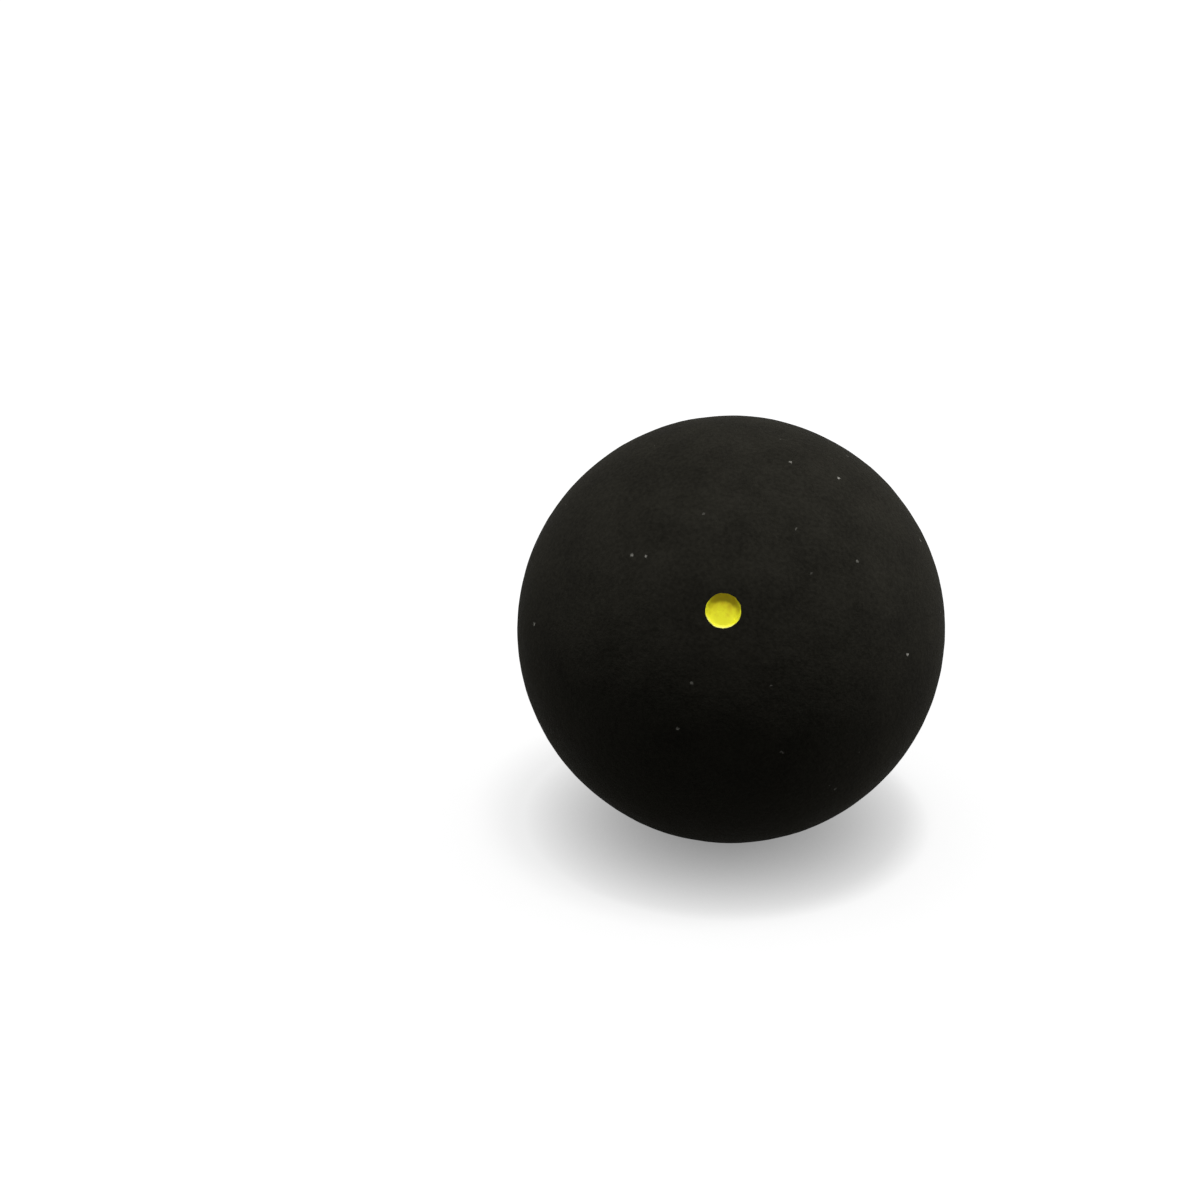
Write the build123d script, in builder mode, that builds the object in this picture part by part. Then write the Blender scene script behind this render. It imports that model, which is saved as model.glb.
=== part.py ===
from build123d import *
import os
from math import cos, radians, sin, sqrt

# A squash ball: two moulded rubber half shells, cemented rim to rim, with a painted speed dot.
# Millimetres. The origin is the ball's centre, +Z is up, and the dot faces -Y and a little upwards.
# Every piece is a section turned about the pole axis, which runs from the centre out through the dot.

# The rubber shell. The rules of the game set the diameter, and the wall brings the ball to 24 grams.
BALL_DIAMETER = 40.0
WALL = 5.2

# The pole axis rises this many degrees above the horizontal.
POLE_RISE = 30.0

# The cemented seam: the film between the flat rims, the bevels that break each rim's outer and inner
# edge, and how far the squeezed-out bead stands into the hollow.
FILM = 0.15
OUTER_BREAK = 0.2
INNER_BREAK = 0.6
BEAD = 0.35

# The dot: a coat of paint in a shallow dish that is pressed into the crown of the front half. The dish has
# a flat floor and a rounded wall, its cove, which is wider than the dish is deep. Paint dries thickest
# along its edge, so a round bead of it follows the dish's rim.
DOT_DIAMETER = 3.1
DISH_DEPTH = 0.6
COVE = 0.7
PAINT = 0.1
EDGE_BEAD = 0.25
EDGE_BULGE = 0.04

outer_radius = BALL_DIAMETER / 2
inner_radius = outer_radius - WALL
dot_radius = DOT_DIAMETER / 2

# Section planes: X runs out from the pole axis, and Y runs along it, to the front or to the rear.
rise = radians(POLE_RISE)
pole_axis = Axis((0, 0, 0), (0, -cos(rise), sin(rise)))
front_section = Plane((0, 0, 0), x_dir=(1, 0, 0), z_dir=(0, -sin(rise), -cos(rise)))
rear_section = Plane((0, 0, 0), x_dir=(1, 0, 0), z_dir=(0, sin(rise), cos(rise)))


def at_height(radius, height):
    """The point of a circle about the centre at this height above the seam plane."""
    return (sqrt(radius**2 - height**2), height)


def at_offset(radius, offset):
    """The point of a circle about the centre at this distance from the pole axis."""
    return (offset, sqrt(radius**2 - offset**2))


def below(point):
    """The same point on the other side of the seam plane."""
    return (point[0], -point[1])


# The seam's corners, which the two rims and the cement share.
outer_rim = (outer_radius - OUTER_BREAK, FILM / 2)
inner_rim = (inner_radius + INNER_BREAK, FILM / 2)
outer_bevel = at_height(outer_radius, FILM / 2 + OUTER_BREAK)
inner_bevel = at_height(inner_radius, FILM / 2 + INNER_BREAK)

# The dish, which the paint shares: the cove leaves the floor level and steepens up to the rim, so its
# radius follows from its width and its height.
dish_rim = at_offset(outer_radius, dot_radius)
dish_floor = (0, outer_radius - DISH_DEPTH)
cove_foot = (dot_radius - COVE, dish_floor[1])
cove_height = dish_rim[1] - cove_foot[1]
cove_radius = (COVE**2 + cove_height**2) / (2 * cove_height)

# The section of one half: a dome of even wall with a flat rim, bevelled at both of the rim's edges.
outer_crown = (0, outer_radius)
inner_crown = (0, inner_radius)
with BuildSketch() as dome:
    with BuildLine():
        Line(outer_crown, inner_crown)
        RadiusArc(inner_crown, inner_bevel, inner_radius)
        Polyline(inner_bevel, inner_rim, outer_rim, outer_bevel)
        RadiusArc(outer_bevel, outer_crown, -outer_radius)
    make_face()

os.makedirs("parts", exist_ok=True)

# Front half: the dome with the dot's dish pressed into its crown.
with BuildPart() as front_half_shell:
    clear_of_ball = outer_radius + DISH_DEPTH
    with BuildSketch(front_section):
        add(dome.sketch)
        with BuildLine():
            Polyline(dish_rim, (dot_radius, clear_of_ball), (0, clear_of_ball), dish_floor, cove_foot)
            RadiusArc(cove_foot, dish_rim, -cove_radius)
        make_face(mode=Mode.SUBTRACT)
    revolve(axis=pole_axis)
front_half_shell.part.label = "front_half_shell"
export_step(front_half_shell.part, "parts/front_half_shell.step")

# Rear half: the same moulding, without a dish.
with BuildPart() as rear_half_shell:
    with BuildSketch(rear_section):
        add(dome.sketch)
    revolve(axis=pole_axis)
rear_half_shell.part.label = "rear_half_shell"
export_step(rear_half_shell.part, "parts/rear_half_shell.step")

# Cement: a film between the rims, a wedge ground flush with the ball outside, and a round bead inside.
with BuildPart() as seam_cement:
    with BuildSketch(front_section):
        with BuildLine():
            Polyline(outer_bevel, outer_rim, inner_rim, inner_bevel)
            ThreePointArc(inner_bevel, (inner_radius - BEAD, 0), below(inner_bevel))
            Polyline(below(inner_bevel), below(inner_rim), below(outer_rim), below(outer_bevel))
            ThreePointArc(below(outer_bevel), (outer_radius, 0), outer_bevel)
        make_face()
    revolve(axis=pole_axis)
seam_cement.part.label = "seam_cement"
export_step(seam_cement.part, "parts/seam_cement.step")

# Dot: an even coat of paint on the dish, with the bead along its rim.
with BuildPart() as speed_dot:
    coat_radius = cove_radius - PAINT
    coat_floor = (0, dish_floor[1] + PAINT)
    coat_foot = (cove_foot[0], coat_floor[1])
    up_cove = COVE - EDGE_BEAD
    bead_foot = (cove_foot[0] + up_cove, cove_foot[1] + cove_radius - sqrt(coat_radius**2 - up_cove**2))
    with BuildSketch(front_section):
        with BuildLine():
            Polyline(coat_foot, coat_floor, dish_floor, cove_foot)
            RadiusArc(cove_foot, dish_rim, -cove_radius)
            SagittaArc(dish_rim, bead_foot, -EDGE_BULGE)
            RadiusArc(bead_foot, coat_foot, coat_radius)
        make_face()
    revolve(axis=pole_axis)
speed_dot.part.label = "speed_dot"
export_step(speed_dot.part, "parts/speed_dot.step")
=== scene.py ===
# %% [markdown]
# # A squash ball
# The real ball is two moulded rubber halves, cemented rim to rim and buffed matte all over, with one
# yellow spot of paint that tells how fast it plays. It is almost a plain sphere, so everything that
# makes it look real is small: the buffed unevenness, the seam, the dish of the dot and specks in the
# rubber. The CAD model is loaded first as a fixed frame, and each piece is then built where it stands.

# %% Load the frame
import math

import bpy
import numpy as np
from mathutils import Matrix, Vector


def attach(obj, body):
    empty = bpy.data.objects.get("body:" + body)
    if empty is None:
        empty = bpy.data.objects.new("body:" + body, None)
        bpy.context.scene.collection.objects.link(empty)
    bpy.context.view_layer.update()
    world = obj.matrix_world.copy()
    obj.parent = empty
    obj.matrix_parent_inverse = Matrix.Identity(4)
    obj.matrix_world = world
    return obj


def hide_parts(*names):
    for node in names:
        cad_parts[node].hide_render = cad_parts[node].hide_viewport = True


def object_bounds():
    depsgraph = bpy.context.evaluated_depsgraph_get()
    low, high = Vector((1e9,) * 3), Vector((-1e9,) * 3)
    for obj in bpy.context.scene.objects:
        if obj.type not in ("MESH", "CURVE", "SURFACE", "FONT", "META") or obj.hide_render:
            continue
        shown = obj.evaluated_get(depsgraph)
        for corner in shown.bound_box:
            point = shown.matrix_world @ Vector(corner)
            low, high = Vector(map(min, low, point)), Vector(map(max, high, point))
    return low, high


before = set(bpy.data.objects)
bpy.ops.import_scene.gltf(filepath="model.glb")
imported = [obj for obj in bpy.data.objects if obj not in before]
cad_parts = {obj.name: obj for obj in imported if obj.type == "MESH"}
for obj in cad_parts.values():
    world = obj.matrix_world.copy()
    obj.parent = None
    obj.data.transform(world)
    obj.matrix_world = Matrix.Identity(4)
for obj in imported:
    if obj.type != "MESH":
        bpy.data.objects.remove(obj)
cad_low, cad_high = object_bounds()
print("CAD nodes:", sorted(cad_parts))

# %% [markdown]
# ## Sizes and the pole axis
# Blender works in metres, so small sizes are written in millimetres and multiplied once. The ball's
# radius comes from the frame. The pole axis runs from the centre out through the dot, and every piece
# is turned about it, so three directions are enough to place a point: out to the side, over the top,
# and along the pole.

# %% Sizes of the ball and the frames of its two halves
MM = 0.001
POLE_RISE = math.radians(30)
WALL = 5.2 * MM
FILM = 0.15 * MM
OUTER_BREAK = 0.2 * MM
INNER_BREAK = 0.6 * MM
BEAD = 0.35 * MM

ball_radius = (cad_high.x - cad_low.x) / 2
inner_radius = ball_radius - WALL
seam_half = FILM / 2 + OUTER_BREAK


def pole_frame(pole):
    """Three unit directions, side, over and pole, each square to the others and right-handed."""
    side = np.array([1.0, 0.0, 0.0])
    return side, np.cross(pole, side), pole


front_pole = np.array([0.0, -math.cos(POLE_RISE), math.sin(POLE_RISE)])
front_frame = pole_frame(front_pole)
rear_frame = pole_frame(-front_pole)
print("ball radius in mm:", round(ball_radius / MM, 3))

# %% [markdown]
# ## From a grid of points to a mesh
# A surface that is turned about an axis is a grid: rings one way, steps round the axis the other way.
# One helper places such a grid in space, and others make the faces. Where a surface starts or ends on
# the axis, its ring shrinks to a point, and one shared vertex with a fan of triangles closes it. A
# grid whose last ring meets its first is closed the other way, as a tyre is.

# %% Helpers that place a grid and skin it
TAU = 2 * math.pi
SHARP_EDGE = math.radians(40)


def round_the_pole(steps):
    """Angles of the steps round an axis, as one row."""
    return np.linspace(0, TAU, steps, endpoint=False)[None, :]


def column(values):
    """Numbers as a column, one for each ring."""
    return np.asarray(values, float)[:, None]


def turned(axes, out, along, angle):
    """Grid of points: out times the turning direction, plus along times the pole."""
    side, over, pole = axes
    out, along, angle = np.broadcast_arrays(out, along, angle)
    turning = np.cos(angle)[..., None] * side + np.sin(angle)[..., None] * over
    return out[..., None] * turning + along[..., None] * pole


def quads_between(ring, next_ring):
    """Four-sided faces between two sets of rings of vertex numbers, closed round the axis."""
    ahead = np.roll(ring, -1, axis=1)
    next_ahead = np.roll(next_ring, -1, axis=1)
    return np.stack((ring, next_ring, next_ahead, ahead), axis=-1).reshape(-1, 4).tolist()


def capped(grid):
    """Values of a grid in one list, with a single value for the first ring and for the last."""
    return np.concatenate((grid[0, :1], grid[1:-1].reshape(-1, *grid.shape[2:]), grid[-1, :1]))


def capped_skin(grid, start=0):
    """Points and faces of a grid whose first and last rings are single points, numbered from start."""
    rings, steps = grid.shape[:2]
    points = capped(grid)
    end = start + len(points) - 1
    number = start + 1 + np.arange((rings - 2) * steps).reshape(rings - 2, steps)
    first, last = number[0], number[-1]
    start_fan = np.stack((np.full_like(first, start), first, np.roll(first, -1)), axis=-1)
    end_fan = np.stack((last, np.full_like(last, end), np.roll(last, -1)), axis=-1)
    return points, quads_between(number[:-1], number[1:]) + start_fan.tolist() + end_fan.tolist()


def looped_skin(grid):
    """Points and faces of a grid whose last ring joins its first, as on a tyre."""
    rings, steps = grid.shape[:2]
    number = np.arange(rings * steps).reshape(rings, steps)
    return grid.reshape(-1, 3), quads_between(number, np.roll(number, -1, axis=0))


def piece_from(name, points, faces):
    """A smooth object at the origin, linked to the scene, that moves with the ball's one body."""
    mesh = bpy.data.meshes.new(name)
    mesh.from_pydata(points.tolist(), [], faces)
    mesh.shade_smooth()
    mesh.set_sharp_from_angle(angle=SHARP_EDGE)
    piece = bpy.data.objects.new(name, mesh)
    bpy.context.scene.collection.objects.link(piece)
    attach(piece, "root")
    print(name, "has", len(mesh.vertices), "vertices and", len(mesh.polygons), "faces")
    return piece


# %% [markdown]
# ## The buffed surface
# A new ball is tumbled and buffed, which leaves a dull skin that is not quite even: broad soft
# patches, and a finer orange peel over them. Blender's noise textures only live in materials, so the
# shape is worked out here as a sum of many cosine waves that cross the ball in random directions. The
# same waves are used for every piece at the skin, so rubber, cement and paint stay flush.

# %% Waves of the buffed surface
WAVE_BANDS = (
    # shortest and longest wave, and typical height, in mm
    (5.0, 12.0, 0.010),
    (1.6, 3.2, 0.005),
    (0.8, 1.3, 0.0025),
)
WAVES_PER_BAND = 40
SEED = 40
chance = np.random.default_rng(SEED)


def wave_band(shortest, longest, height):
    """Wave vectors, phases and heights of one band of waves that cross space in random directions."""
    direction = chance.normal(size=(WAVES_PER_BAND, 3))
    direction /= np.linalg.norm(direction, axis=1, keepdims=True)
    length = chance.uniform(shortest, longest, WAVES_PER_BAND) * MM
    phase = chance.uniform(0, TAU, WAVES_PER_BAND)
    each = np.full(WAVES_PER_BAND, height * MM * math.sqrt(2 / WAVES_PER_BAND))
    return direction * (TAU / length)[:, None], phase, each


bands = [wave_band(*band) for band in WAVE_BANDS]
wave_vectors = np.concatenate([band[0] for band in bands])
wave_phases = np.concatenate([band[1] for band in bands])
wave_heights = np.concatenate([band[2] for band in bands])
print("waves that make the skin uneven:", len(wave_heights))


def outward(points):
    """Unit directions from the ball's centre to these points."""
    return points / np.linalg.norm(points, axis=-1, keepdims=True)


def buffed(points):
    """Points of the ball's skin, moved in or out: the sum of height times cosine of wave dot point."""
    rise = np.cos(points @ wave_vectors.T + wave_phases) @ wave_heights
    return points + rise[..., None] * outward(points)


# %% [markdown]
# ## The seam's edge
# Where the halves meet, the ground rims are never perfectly straight, so the line of cement between
# them wavers a little. The edge of each half is a smooth function of the angle round the pole: a few
# cosines with whole numbers of turns, so that it closes on itself.

# %% Height of a half's edge above the seam plane
EDGE_WAVER = 0.05 * MM
WAVER_TURNS = np.array([3, 7, 11, 17, 26, 41])
HALF_STEPS = 480


def waver(angle, turns, phases):
    """Mean of cosines of whole turns round the pole, about 0."""
    return np.cos(angle[..., None] * turns + phases).mean(axis=-1)


def edge_height(angle, phases):
    """Distance of a half's edge from the seam plane at this angle."""
    return seam_half + EDGE_WAVER * waver(angle, WAVER_TURNS, phases)


front_phases = chance.uniform(0, TAU, len(WAVER_TURNS))
rear_phases = chance.uniform(0, TAU, len(WAVER_TURNS))
half_angle = round_the_pole(HALF_STEPS)
front_edge = edge_height(half_angle, front_phases)
# The rear half is turned the other way about the pole, so its steps run backwards from the front's.
rear_edge = edge_height(-half_angle, rear_phases)
print("seam width in mm:", round(float(front_edge.mean() + rear_edge.mean()) / MM, 3))

# %% [markdown]
# ## A half shell
# A half shell could be a UV sphere cut in two with a Solidify modifier, but then its rim, its bevels
# and the dish for the dot would each need repair. Carrying one profile round the pole gives them all
# at once: out over the dome, round the rim, and back along the hollow inside.

# %% Rows of a half shell's profile
DOME_ROWS = 112
HOLLOW_ROWS = 16


def dome_rows(start, edge):
    """Outer skin from a start angle off the pole down to the edge at the seam."""
    share = column(np.linspace(0, 1, DOME_ROWS))
    finish = np.arccos(edge / ball_radius)
    off_pole = start + share * (finish - start)
    return ball_radius * np.sin(off_pole), ball_radius * np.cos(off_pole)


def rim_rows():
    """Flat rim, from the foot of its outer bevel to the foot of its inner bevel."""
    out = column((ball_radius - OUTER_BREAK, inner_radius + INNER_BREAK))
    return out, np.full_like(out, FILM / 2)


def hollow_rows():
    """Inner skin, from the top of the inner bevel back up to the pole."""
    start = math.acos((FILM / 2 + INNER_BREAK) / inner_radius)
    off_pole = column(np.linspace(start, 0, HOLLOW_ROWS))
    return inner_radius * np.sin(off_pole), inner_radius * np.cos(off_pole)


def half_shell(name, axes, skin_rows):
    """One half: the rows of its buffed skin, then the rim and the hollow."""
    skin = [buffed(turned(axes, *rows, half_angle)) for rows in skin_rows]
    inside = [turned(axes, *rows, half_angle) for rows in (rim_rows(), hollow_rows())]
    half = piece_from(name, *capped_skin(np.concatenate((*skin, *inside))))
    return half


# %% [markdown]
# ## The rear half
# The rear half is the plain one, so it is made first. Its skin starts on the pole itself and runs down to
# the wavering edge at the seam.

# %% Make the rear half
rear_half = half_shell("rear_half", rear_frame, [dome_rows(0.0, rear_edge)])
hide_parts("rear_half_shell")

# %% [markdown]
# ## The front half and its dish
# The dot lies in a shallow dish that was pressed into the crown of this half. It has a flat floor and a
# rounded wall, a cove, which leaves the floor level and steepens up to the rim. The cove's radius follows
# from its width and its height, as for any such arc: the width squared plus the height squared, over
# twice the height.

# %% Make the front half
DOT_RADIUS = 1.55 * MM
DISH_DEPTH = 0.6 * MM
COVE = 0.7 * MM
DISH_ROWS = 26

floor_radius = DOT_RADIUS - COVE
dish_floor = ball_radius - DISH_DEPTH
cove_height = math.sqrt(ball_radius**2 - DOT_RADIUS**2) - dish_floor
cove_radius = (COVE**2 + cove_height**2) / (2 * cove_height)


def dish_height(out, coat=0.0):
    """Height of the dish along the pole, with a coat on it: level to the cove's foot, and then its arc."""
    up_cove = np.clip(out - floor_radius, 0, COVE)
    return dish_floor + cove_radius - np.sqrt((cove_radius - coat) ** 2 - up_cove**2)


def dish_rows():
    """Rows of the dish from the pole to just inside its rim."""
    out = column(np.linspace(0, DOT_RADIUS, DISH_ROWS))[:-1]
    return out, dish_height(out)


rim_off_pole = math.asin(DOT_RADIUS / ball_radius)
front_half = half_shell("front_half", front_frame, [dish_rows(), dome_rows(rim_off_pole, front_edge)])
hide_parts("front_half_shell")
print("cove radius in mm:", round(cove_radius / MM, 3))

# %% [markdown]
# ## The cement in the seam
# The cement is a ring: a film between the rims, a thin line that shows outside, and a bead that was
# squeezed into the hollow. The line outside is ground with the rubber but shrinks a little as it
# cures, so its middle lies a few hundredths of a millimetre under the skin.

# %% Make the cement ring
CEMENT_SINK = 0.03 * MM
LINE_ROWS = 9
BEAD_ROWS = 9


def cement_line():
    """Outer line from the front edge to the rear edge, on the skin, sunk in the middle as a sine."""
    share = column(np.linspace(0, 1, LINE_ROWS))
    rear = edge_height(half_angle, rear_phases)
    along = front_edge - share * (front_edge + rear)
    skin = buffed(turned(front_frame, np.sqrt(ball_radius**2 - along**2), along, half_angle))
    return skin * (1 - CEMENT_SINK / ball_radius * np.sin(math.pi * share))[..., None]


def cement_bead():
    """Rounded bead inside, from the rear bevel to the front bevel, bulging towards the pole axis."""
    reach = FILM / 2 + INNER_BREAK
    share = column(np.linspace(-1, 1, BEAD_ROWS))
    out = math.sqrt(inner_radius**2 - reach**2) - BEAD * (1 - share**2)
    return turned(front_frame, out, reach * share, half_angle)


def film_side(along, *outs):
    """Two corners of the film at one rim, at these distances from the pole axis."""
    return turned(front_frame, column(outs), along, half_angle)


film_outer = ball_radius - OUTER_BREAK
film_inner = inner_radius + INNER_BREAK
rear_side = film_side(-FILM / 2, film_outer, film_inner)
front_side = film_side(FILM / 2, film_inner, film_outer)
cement_grid = np.concatenate((cement_line(), rear_side, cement_bead(), front_side))
seam_ring = piece_from("seam_ring", *looped_skin(cement_grid))
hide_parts("seam_cement")

# %% [markdown]
# ## The yellow dot
# A drop of paint spreads over the dish and dries with a thick edge, as a coffee stain does. So the top
# is the dish again, one coat higher, with a round bead along the rim. Nothing about it is quite even:
# the drop ran to the lower side before it dried, so it lies there as a pool with a thicker bead, the edge
# wanders and the coat ripples. The paint is closed underneath, a little way inside the rubber, so that no
# gap shows at its edge.

# %% Heights of the paint
PAINT = 0.1 * MM
EDGE_BEAD = 0.25 * MM
EDGE_BULGE = 0.04 * MM
PAINT_ROOT = 0.02 * MM
EDGE_WANDER = 0.03 * MM
PAINT_RIPPLE = 0.02 * MM
THICK_SIDE = math.radians(260)
POOL_SLOPE = 0.15
POOL_BLEND = 0.05 * MM
BEAD_LEAN = 0.4
CREST = 0.75
DOT_STEPS = 240
COAT_ROWS = 30
EDGE_ROWS = 21
DOT_TURNS = np.array([2, 3, 5, 8, 13])

dot_angle = round_the_pole(DOT_STEPS)
wander = waver(dot_angle, DOT_TURNS, chance.uniform(0, TAU, len(DOT_TURNS)))
ripple = waver(dot_angle, DOT_TURNS, chance.uniform(0, TAU, len(DOT_TURNS)))
# From -1 on the thin side to 1 on the thick side.
lean = np.cos(dot_angle - THICK_SIDE)
edge_out = DOT_RADIUS + EDGE_WANDER * wander
foot_out = edge_out - EDGE_BEAD
print("radius of the paint in mm:", round(edge_out.min() / MM, 3), "to", round(edge_out.max() / MM, 3))


def bed_height(out):
    """Height of the rubber along the pole: the dish inside its rim, and the ball's skin outside it."""
    return np.where(out < DOT_RADIUS, dish_height(out), np.sqrt(ball_radius**2 - out**2))


def coat_height(out):
    """Height of the paint: an even coat on the dish or, where it is higher, a tilted pool, plus a ripple.

    The two meet in a smooth maximum: half the sum of both heights and of a root, which is taken of their
    difference squared plus the blend squared.
    """
    coat = dish_height(out, PAINT)
    pool = dish_floor + PAINT + POOL_SLOPE * out * lean
    share = out / DOT_RADIUS
    swell = PAINT_RIPPLE * share * np.cos(math.pi * share) * ripple
    return (coat + pool + np.hypot(coat - pool, POOL_BLEND)) / 2 + swell


# %% Make the dot
def coat_rows():
    """Top of the coat from the pole to just inside the foot of the bead."""
    out = column(np.linspace(0, 1, COAT_ROWS))[:-1] * foot_out
    return out, coat_height(out)


def edge_rows():
    """The bead: a straight line from its foot to the paint's edge, plus a skewed hump.

    The hump is a power of the share of the way, times what is left of it, with its crest set to 1.
    """
    share = column(np.linspace(0, 1, EDGE_ROWS))
    chord = coat_height(foot_out) * (1 - share) + bed_height(edge_out) * share
    power = CREST / (1 - CREST)
    hump = share**power * (1 - share) / (CREST**power * (1 - CREST))
    return foot_out + EDGE_BEAD * share, chord + EDGE_BULGE * (1 + BEAD_LEAN * lean) * hump


def under_rows():
    """Underside of the paint, from its edge back to the pole, a little way inside the rubber."""
    out = column(np.linspace(1, 0, DISH_ROWS)) * edge_out
    return out, bed_height(out) - PAINT_ROOT


dot_rows = (coat_rows(), edge_rows(), under_rows())
dot_grid = np.concatenate([turned(front_frame, *rows, dot_angle) for rows in dot_rows])
yellow_dot = piece_from("yellow_dot", *capped_skin(buffed(dot_grid)))
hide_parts("speed_dot")

# %% [markdown]
# ## The printed mark
# A ball also carries a small print in white ink, on the face away from its dot. This one is a plain dial
# of ticks, long and short by turns, round an empty middle. It could be a texture, but then it would have
# no thickness. Here each tick is a thin closed film that lies on the ball's skin and has round ends.

# %% Make the mark
MARK_RISE = math.radians(15)
TICKS = 16
TICK_INNER = (4.2 * MM, 6.6 * MM)
TICK_OUTER = 10.0 * MM
TICK_WIDTH = 0.9 * MM
INK_RISE = 0.015 * MM
INK_ROOT = 0.02 * MM
BORDER_POWER = 6
TICK_ROWS = 65
LOOP_STEPS = 24

mark_frame = pole_frame(np.array([0.0, math.cos(MARK_RISE), math.sin(MARK_RISE)]))


def ink_film(angle, inner, outer, width):
    """Closed film along a line out from the middle of the mark at this angle, with round ends.

    Each row is a loop: across is half the row's width times a cosine, and the lift off the skin is one
    less a high even power of that cosine, so that the film is flat with rounded borders.
    """
    half_length = (outer - inner) / 2
    along = half_length * np.sin(math.pi / 2 * column(np.linspace(1, -1, TICK_ROWS)))
    past_straight = np.clip((np.abs(along) - half_length) / (width / 2) + 1, 0, 1)
    fullness = np.sqrt(1 - past_straight**2)
    loop = round_the_pole(LOOP_STEPS)
    side = np.cos(loop)
    thickness = np.where(np.sin(loop) > 0, INK_RISE, -INK_ROOT)
    lift = thickness * (1 - side**BORDER_POWER) * np.sqrt(fullness)
    off_pole = (inner + half_length + along) / ball_radius
    out = ball_radius * np.sin(off_pole)
    turn = angle + width / 2 * fullness * side / out
    skin = buffed(turned(mark_frame, out, ball_radius * np.cos(off_pole), turn))
    return skin + lift[..., None] * outward(skin)


mark_points = np.zeros((0, 3))
mark_faces = []
for tick in range(TICKS):
    inner = TICK_INNER[tick % len(TICK_INNER)]
    film = ink_film(TAU * tick / TICKS, inner, TICK_OUTER, TICK_WIDTH)
    points, faces = capped_skin(film, len(mark_points))
    mark_points = np.concatenate((mark_points, points))
    mark_faces += faces
ink_mark = piece_from("ink_mark", mark_points, mark_faces)

# %% [markdown]
# ## Making materials from nodes
# A material is a small graph. One helper adds a node, sets its options and fills its inputs: a socket
# is linked, and a plain value is set on the input itself. The others are the few patterns that all of
# the ball's materials are made of, and the last one puts a finished material on its pieces.

# %% Node helpers
# Sockets of the Mix node for colours, which share their names with others and so go by number.
MIX_SHARE = 0
MIX_LOW = 6
MIX_HIGH = 7
MIX_COLOUR = 2
# Noise seldom leaves this span.
NOISE_SPAN = (0.3, 0.7)


def node(tree, kind, inputs, **options):
    """Adds one node. Inputs go by the socket's name or number, each a value or another socket."""
    made = tree.nodes.new(kind)
    for option, value in options.items():
        setattr(made, option, value)
    for key, value in inputs.items():
        if isinstance(value, bpy.types.NodeSocket):
            tree.links.new(value, made.inputs[key])
        else:
            made.inputs[key].default_value = value
    return made


def new_material(name):
    """An empty node material with its shader and the object's own coordinates."""
    material = bpy.data.materials.new(name)
    material.use_nodes = True
    tree = material.node_tree
    tree.nodes.clear()
    shader = node(tree, "ShaderNodeBsdfPrincipled", {})
    node(tree, "ShaderNodeOutputMaterial", {"Surface": shader.outputs["BSDF"]})
    place = node(tree, "ShaderNodeTexCoord", {}).outputs["Object"]
    return material, tree, shader, place


def noise(tree, place, size, detail=2.0):
    """Noise whose blobs are about this many metres across, as a number from 0 to 1."""
    inputs = {"Vector": place, "Scale": 1 / size, "Detail": detail}
    return node(tree, "ShaderNodeTexNoise", inputs).outputs["Fac"]


def ramp(tree, value, low, high, to_low=0.0, to_high=1.0):
    """A number carried from one range to another and clamped there."""
    inputs = {"Value": value, "From Min": low, "From Max": high, "To Min": to_low, "To Max": to_high}
    return node(tree, "ShaderNodeMapRange", inputs).outputs["Result"]


def sums(tree, operation, first, second):
    """One step of arithmetic on two numbers."""
    return node(tree, "ShaderNodeMath", {0: first, 1: second}, operation=operation).outputs[0]


def blend(tree, share, low, high):
    """A colour between two colours, each a socket or plain red, green and blue."""
    low, high = (c if isinstance(c, bpy.types.NodeSocket) else (*c, 1.0) for c in (low, high))
    inputs = {MIX_SHARE: share, MIX_LOW: low, MIX_HIGH: high}
    return node(tree, "ShaderNodeMix", inputs, data_type="RGBA").outputs[MIX_COLOUR]


def patches(tree, place, size, detail=2.0):
    """Noise with its contrast raised, so that it reaches 0 and 1."""
    return ramp(tree, noise(tree, place, size, detail), *NOISE_SPAN)


def finish_with(material, *pieces):
    """Gives the material to these pieces, and counts its nodes."""
    for piece in pieces:
        piece.data.materials.append(material)
    print(material.name, "has", len(material.node_tree.nodes), "nodes")


# %% [markdown]
# ## Buffed black rubber
# Black rubber is not black: it is a very dark warm grey with hardly any gloss, cloudy on the scale of
# a few millimetres, with a fine grain. Two things lie over that. A few pale specks of filler show
# where the skin cuts through small ragged balls that are scattered through space, and beside the seam,
# where the flash was ground off, fine lines run round the ball.

# %% Colour of the rubber
RUBBER_DARK = (0.0084, 0.0079, 0.0061)
RUBBER_LIGHT = (0.0211, 0.0200, 0.0157)
CLOUD_SIZE = 4.0 * MM
MOTTLE_SIZE = 0.35 * MM
FINE_DETAIL = 3.0

rubber, tree, shader, place = new_material("buffed_rubber")
cloud = patches(tree, place, CLOUD_SIZE, FINE_DETAIL)
mottle = sums(tree, "ADD", cloud, patches(tree, place, MOTTLE_SIZE))
# Each of the two runs from 0 to 1, and so their sum to 2.
tone = blend(tree, ramp(tree, mottle, 0.0, 2.0), RUBBER_DARK, RUBBER_LIGHT)
print("nodes of the clouded rubber:", len(tree.nodes))

# %% Lines where the seam was ground
GROUND_DARK = (0.0094, 0.0089, 0.0077)
GROUND_LIGHT = (0.0242, 0.0230, 0.0198)
GROUND_REACH = 3.4 * MM
GROUND_CORE = 0.8 * MM
GROUND_STRENGTH = (0.375, 0.75)
LINE_SIZES = (7.0 * MM, 7.0 * MM, 0.11 * MM)

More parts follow.
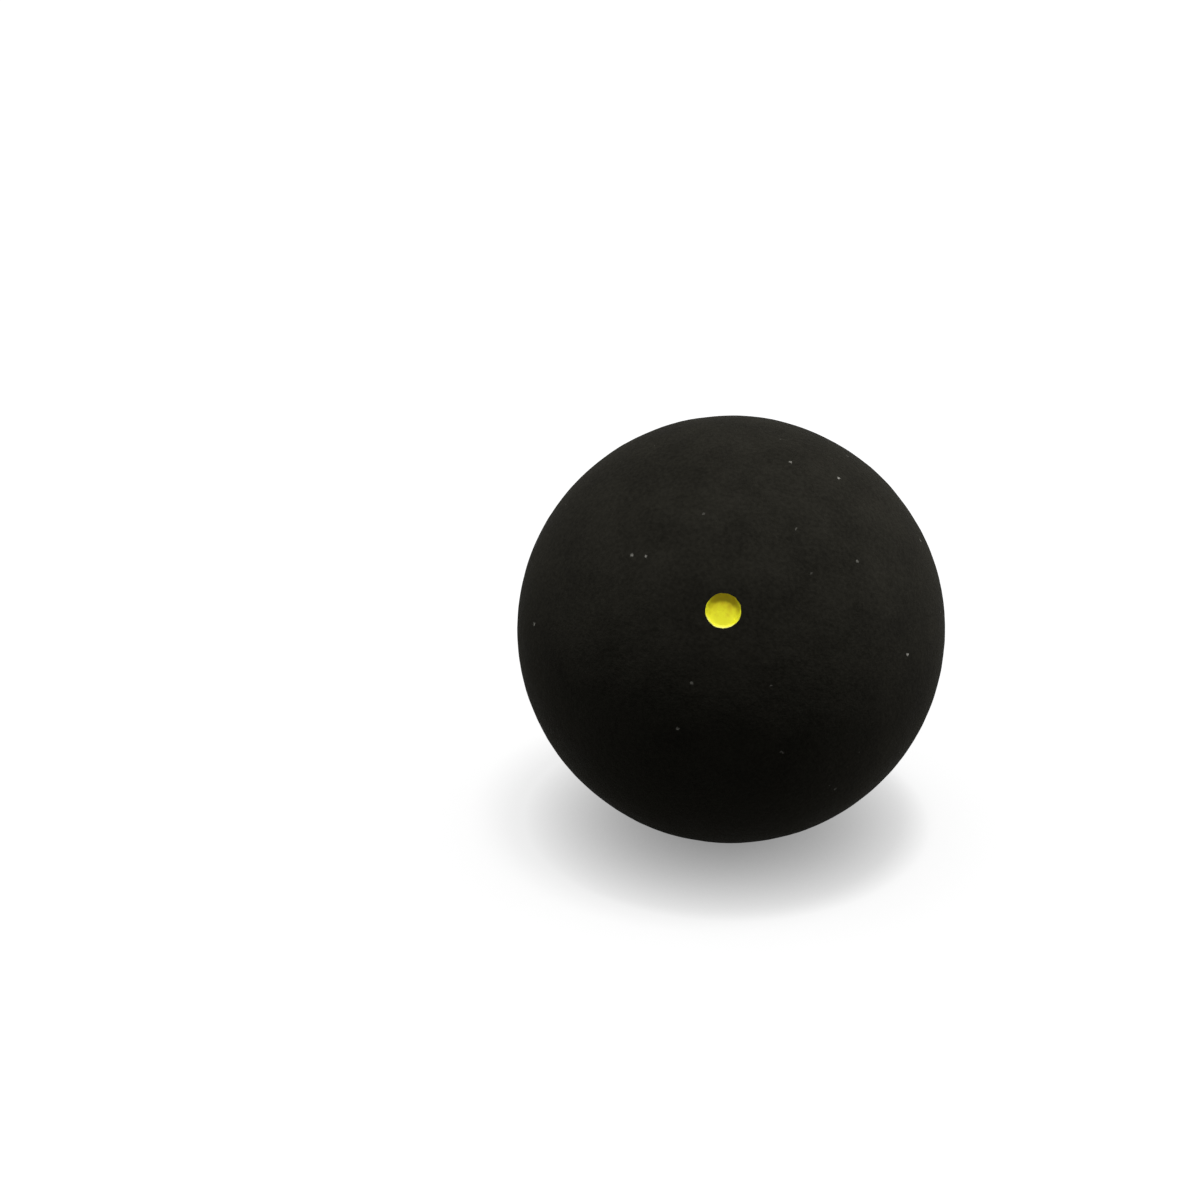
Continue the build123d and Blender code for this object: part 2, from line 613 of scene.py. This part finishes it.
along_pole = node(tree, "ShaderNodeVectorMath", {0: place, 1: front_pole}, operation="DOT_PRODUCT")
off_seam = sums(tree, "ABSOLUTE", along_pole.outputs["Value"], 0.0)
ground = ramp(tree, off_seam, GROUND_REACH, GROUND_CORE)
ground = sums(tree, "MULTIPLY", ground, ramp(tree, cloud, 0.0, 1.0, *GROUND_STRENGTH))
turn_to_pole = (math.pi / 2 - POLE_RISE, 0, 0)
along_lines = {"Vector": place, "Rotation": turn_to_pole, "Scale": LINE_SIZES}
drawn = node(tree, "ShaderNodeMapping", along_lines, vector_type="TEXTURE").outputs["Vector"]
# The mapping measures space in sizes of the lines, so here their size is 1.
lines = patches(tree, drawn, 1.0)
tone = blend(tree, ground, tone, blend(tree, lines, GROUND_DARK, GROUND_LIGHT))
print("nodes with the ground lines:", len(tree.nodes))

# %% Specks of filler
SPECK = (0.32, 0.31, 0.28)
SPECK_SPACING = 3.3 * MM
SPECK_RADIUS = 0.2 * MM
SPECK_CORE = 0.4
SPECK_RAGGED = 0.4 * MM
RAG_SIZE = 0.3 * MM
FAINTEST_SPECK = 0.1

rag = node(tree, "ShaderNodeTexNoise", {"Vector": place, "Scale": 1 / RAG_SIZE}).outputs["Color"]
ragged_by = {0: rag, 1: (SPECK_RAGGED, SPECK_RAGGED, SPECK_RAGGED), 2: place}
ragged = node(tree, "ShaderNodeVectorMath", ragged_by, operation="MULTIPLY_ADD").outputs["Vector"]
cells = node(tree, "ShaderNodeTexVoronoi", {"Vector": ragged, "Scale": 1 / SPECK_SPACING}).outputs
speck_edge = SPECK_RADIUS / SPECK_SPACING
speck = ramp(tree, cells["Distance"], speck_edge, SPECK_CORE * speck_edge)
luck = node(tree, "ShaderNodeSeparateColor", {"Color": cells["Color"]}).outputs["Red"]
speck = sums(tree, "MULTIPLY", speck, ramp(tree, luck, 0.0, 1.0, FAINTEST_SPECK, 1.0))
tree.links.new(blend(tree, speck, tone, SPECK), shader.inputs["Base Color"])
print("nodes with the specks:", len(tree.nodes))

# %% Grain and gloss of the rubber
GRAIN_SIZE = 0.22 * MM
PEEL_SIZE = 0.7 * MM
GRAIN_DEPTH = 0.05 * MM
GRAIN_STRENGTH = 0.8
RUBBER_ROUGHNESS = (0.78, 0.9)
RUBBER_GLOSS = 0.015

grain = sums(tree, "ADD", noise(tree, place, GRAIN_SIZE, FINE_DETAIL), noise(tree, place, PEEL_SIZE))
grain = sums(tree, "ADD", grain, sums(tree, "MULTIPLY", ground, lines))
grained = {"Height": grain, "Strength": GRAIN_STRENGTH, "Distance": GRAIN_DEPTH}
tree.links.new(node(tree, "ShaderNodeBump", grained).outputs["Normal"], shader.inputs["Normal"])
tree.links.new(ramp(tree, cloud, 0.0, 1.0, *RUBBER_ROUGHNESS), shader.inputs["Roughness"])
shader.inputs["Specular IOR Level"].default_value = RUBBER_GLOSS
finish_with(rubber, front_half, rear_half)

# %% [markdown]
# ## Cement
# The cured cement is a little darker than the rubber but also smoother, so it catches more light and
# shows as a thin line. The rubber's material could be used again, but cement has no grain and no specks,
# so it gets a small material of its own.

# %% Make the cement's material
CEMENT_DARK = (0.0077, 0.0073, 0.0066)
CEMENT_LIGHT = (0.0143, 0.0138, 0.0123)
CEMENT_CLOUD = 1.2 * MM
CEMENT_SHEEN = 0.5 * MM
CEMENT_ROUGHNESS = (0.6, 0.75)
CEMENT_GLOSS = 0.05

cement, tree, shader, place = new_material("cured_cement")
tone = blend(tree, patches(tree, place, CEMENT_CLOUD), CEMENT_DARK, CEMENT_LIGHT)
tree.links.new(tone, shader.inputs["Base Color"])
sheen = ramp(tree, patches(tree, place, CEMENT_SHEEN), 0.0, 1.0, *CEMENT_ROUGHNESS)
tree.links.new(sheen, shader.inputs["Roughness"])
shader.inputs["Specular IOR Level"].default_value = CEMENT_GLOSS
finish_with(cement, seam_ring)

# %% [markdown]
# ## Dot paint
# A thick, satin yellow, a little uneven in strength. A number on each vertex carries painted light and
# shade: it grows from 0 on the upper, thin side, where a deeper and oranger yellow is painted shade for
# the dish's shadow, to 1 on the lower, thick side, and there by 1 more across the bead, where a paler
# yellow is a painted highlight on the bead that faces the lamp.

# %% Mark the paint's painted shade and painted highlight
over_coat = np.linspace(0, 1, COAT_ROWS)[:-1]
over_bead = np.linspace(0, 1, EDGE_ROWS)
underneath = np.ones(DISH_ROWS)
across_coat = column(np.concatenate((over_coat, np.ones_like(over_bead), underneath)))
across_bead = column(np.concatenate((np.zeros_like(over_coat), over_bead, underneath)))
# Painted light: lowest on the upper side, where the dish is shaded, and highest on the lower bead, which
# catches the lamp.
painted_light = capped((1 + across_coat * lean) / 2 + across_bead * (1 + lean) / 2)
yellow_dot.data.attributes.new("painted_light", "FLOAT", "POINT")
yellow_dot.data.attributes["painted_light"].data.foreach_set("value", painted_light.astype(np.float32))
print("palest and plainest paint:", round(painted_light.max(), 2), round(painted_light.min(), 2))

# %% Make the paint
# The deepest yellow is painted shade, for the upper side of the dish where its rim casts a shadow.
PAINT_SHADED = (0.66, 0.53, 0.012)
PAINT_FULL = (0.86, 0.84, 0.022)
# The palest yellow is a painted highlight, for the lower side of the bead that faces the lamp.
PAINT_HIGHLIT = (0.82, 0.81, 0.18)
SHADED_TO_FULL = (0.1, 0.7)
FULL_TO_HIGHLIT = (1.1, 1.8)
BLOTCH_SIZE = 0.5 * MM
BLOTCHES = (-0.2, 0.2)
PAINT_SHEEN = 0.3 * MM
PAINT_ROUGHNESS = (0.38, 0.52)
PAINT_GLOSS = 0.2

paint, tree, shader, place = new_material("satin_paint")
painted_light_share = node(tree, "ShaderNodeAttribute", {}, attribute_name="painted_light").outputs["Fac"]
blotches = ramp(tree, noise(tree, place, BLOTCH_SIZE), *NOISE_SPAN, *BLOTCHES)
# Painted light and shade, plus blotches of real unevenness in the paint.
light_and_blotches = sums(tree, "ADD", painted_light_share, blotches)
tone = blend(tree, ramp(tree, light_and_blotches, *SHADED_TO_FULL), PAINT_SHADED, PAINT_FULL)
tone = blend(tree, ramp(tree, light_and_blotches, *FULL_TO_HIGHLIT), tone, PAINT_HIGHLIT)
tree.links.new(tone, shader.inputs["Base Color"])
sheen = ramp(tree, patches(tree, place, PAINT_SHEEN), 0.0, 1.0, *PAINT_ROUGHNESS)
tree.links.new(sheen, shader.inputs["Roughness"])
shader.inputs["Specular IOR Level"].default_value = PAINT_GLOSS
finish_with(paint, yellow_dot)

# %% [markdown]
# ## White ink
# Printed ink on rubber is thin and soon gets pinholes. They could be holes in the mesh, but they are
# smaller than its faces, so the tops of a fine noise let the rubber's colour through instead.

# %% Make the ink
INK_WHITE = (0.76, 0.76, 0.74)
INK_GREY = (0.58, 0.58, 0.56)
INK_CLOUD = 0.9 * MM
PINHOLE_SIZE = 0.22 * MM
PINHOLE_EDGE = (0.66, 0.72)
INK_ROUGHNESS = (0.55, 0.85)
INK_GLOSS = 0.2

ink, tree, shader, place = new_material("white_ink")
tone = blend(tree, patches(tree, place, INK_CLOUD, FINE_DETAIL), INK_GREY, INK_WHITE)
pinholes = ramp(tree, noise(tree, place, PINHOLE_SIZE), *PINHOLE_EDGE)
tree.links.new(blend(tree, pinholes, tone, RUBBER_LIGHT), shader.inputs["Base Color"])
tree.links.new(ramp(tree, pinholes, 0.0, 1.0, *INK_ROUGHNESS), shader.inputs["Roughness"])
shader.inputs["Specular IOR Level"].default_value = INK_GLOSS
finish_with(ink, ink_mark)

# %% [markdown]
# ## Floor, room and light
# The ball stands on a plain pale floor. One lamp hangs over it, and two larger and weaker ones stand
# low beside it and a little behind, so that both of its flanks show. The camera and shiny things see
# the floor and the room as white, by the Light Path node, while the light that they throw on the ball
# stays low, so that the rubber keeps its dark underside. The floor's own white is dimmed where the
# ball stands close over it, as the light of a real room is.

# %% Floor
FLOOR_REACH = 3.0
FLOOR_TONE = 0.12
FLOOR_GLOW = 0.92
WHITE_FROM = 0.6
SOFT_SHADE = (60 * MM, 0.3)
CONTACT_SHADE = (8 * MM, 0.65)


def seen_directly(tree):
    """1 for rays from the camera, or that a shiny or clear surface sends on, and 0 for other light."""
    path = node(tree, "ShaderNodeLightPath", {}).outputs
    shiny = sums(tree, "MAXIMUM", path["Is Glossy Ray"], path["Is Transmission Ray"])
    return sums(tree, "MAXIMUM", path["Is Camera Ray"], shiny)


def shade(tree, reach, strength):
    """1 on open floor, and less by this strength where something stands over it within this reach."""
    open_sky = node(tree, "ShaderNodeAmbientOcclusion", {"Distance": reach}).outputs["AO"]
    return ramp(tree, open_sky, 0.0, 1.0, 1 - strength, 1.0)


corners = np.array([(-1, -1, 0), (1, -1, 0), (1, 1, 0), (-1, 1, 0)]) * FLOOR_REACH
corners[:, 2] = -ball_radius
floor_mesh = bpy.data.meshes.new("floor")
floor_mesh.from_pydata(corners.tolist(), [], [(0, 1, 2, 3)])
floor = bpy.data.objects.new("floor", floor_mesh)
bpy.context.scene.collection.objects.link(floor)

pale = bpy.data.materials.new("pale_floor")
pale.use_nodes = True
tree = pale.node_tree
tree.nodes.clear()
matte = node(tree, "ShaderNodeBsdfDiffuse", {"Color": (FLOOR_TONE, FLOOR_TONE, FLOOR_TONE, 1)})
place = node(tree, "ShaderNodeTexCoord", {}).outputs["Object"]
away = node(tree, "ShaderNodeVectorMath", {0: place}, operation="LENGTH").outputs["Value"]
white = ramp(tree, away, ball_radius, WHITE_FROM, FLOOR_GLOW, 1.0)
shaded = sums(tree, "MULTIPLY", shade(tree, *SOFT_SHADE), shade(tree, *CONTACT_SHADE))
white = sums(tree, "MULTIPLY", sums(tree, "MULTIPLY", white, shaded), seen_directly(tree))
glow = node(tree, "ShaderNodeEmission", {"Strength": white})
both = node(tree, "ShaderNodeAddShader", {0: matte.outputs[0], 1: glow.outputs[0]})
node(tree, "ShaderNodeOutputMaterial", {"Surface": both.outputs[0]})
finish_with(pale, floor)

# %% Room
ROOM_FILL = 0.2

world = bpy.data.worlds.new("white_room")
bpy.context.scene.world = world
world.use_nodes = True
tree = world.node_tree
tree.nodes.clear()
level = ramp(tree, seen_directly(tree), 0.0, 1.0, ROOM_FILL, 1.0)
room = node(tree, "ShaderNodeBackground", {"Color": (1, 1, 1, 1), "Strength": level})
node(tree, "ShaderNodeOutputWorld", {"Surface": room.outputs["Background"]})
print(world.name, "lights the ball with", ROOM_FILL, "of white")

# %% Lamps
LAMPS = {
    # place and side in metres, and level
    "top_lamp": ((0.10, -0.04, 0.99), 0.2, 0.94),
    "right_lamp": ((0.92, 0.30, 0.22), 0.6, 0.65),
    "left_lamp": ((-0.92, 0.30, 0.22), 0.6, 0.35),
}


def soft_lamp(name, place, side, level):
    """A square lamp aimed at the ball. At level 1 a white card that faces it renders about white.

    Its power is the level times pi squared times the distance squared.
    """
    data = bpy.data.lights.new(name, "AREA")
    data.size = side
    data.energy = level * math.pi**2 * place.length_squared
    lamp = bpy.data.objects.new(name, data)
    lamp.location = place
    lamp.rotation_euler = (-place).to_track_quat("-Z", "Y").to_euler()
    bpy.context.scene.collection.objects.link(lamp)
    print(name, "has", round(data.energy, 2), "watts")


for name, (place, side, level) in LAMPS.items():
    soft_lamp(name, Vector(place), side, level)

# %% [markdown]
# ## Camera
# The camera looks down on the ball with a long lens. In the picture the ball stands right of the
# middle, so the camera is aimed a little to the left of it and above it. Turning the camera towards
# that aim also turns its own left and up, so the aim is worked out a few times until it settles.

# %% Camera
IMAGE_SIDE = 1200
BALL_PIXEL = (730.3, 629.1)
LENS = 84.0
SENSOR = 36.0
NEAREST_SEEN = 10 * MM
CAMERA_DISTANCE = 263 * MM
CAMERA_AZIMUTH = math.radians(2.2)
CAMERA_RISE = math.radians(25.5)
AIM_ROUNDS = 4

level_back = math.cos(CAMERA_RISE)
back = Vector(
    (math.sin(CAMERA_AZIMUTH) * level_back, -math.cos(CAMERA_AZIMUTH) * level_back, math.sin(CAMERA_RISE))
)
metres_per_pixel = CAMERA_DISTANCE * SENSOR / LENS / IMAGE_SIDE
left = (BALL_PIXEL[0] - IMAGE_SIDE / 2) * metres_per_pixel
above = (BALL_PIXEL[1] - IMAGE_SIDE / 2) * metres_per_pixel
turn = (-back).to_track_quat("-Z", "Y")
for _ in range(AIM_ROUNDS):
    aim = turn @ Vector((-left, above, 0))
    turn = (aim - back * CAMERA_DISTANCE).to_track_quat("-Z", "Y")

lens = bpy.data.cameras.new("camera")
lens.lens = LENS
lens.sensor_width = SENSOR
lens.clip_start = NEAREST_SEEN
camera = bpy.data.objects.new("camera", lens)
camera.location = back * CAMERA_DISTANCE
camera.rotation_euler = turn.to_euler()
bpy.context.scene.collection.objects.link(camera)
bpy.context.scene.camera = camera
bpy.context.scene.view_settings.view_transform = "Standard"
print("camera's place in mm:", [round(value / MM, 1) for value in camera.location])
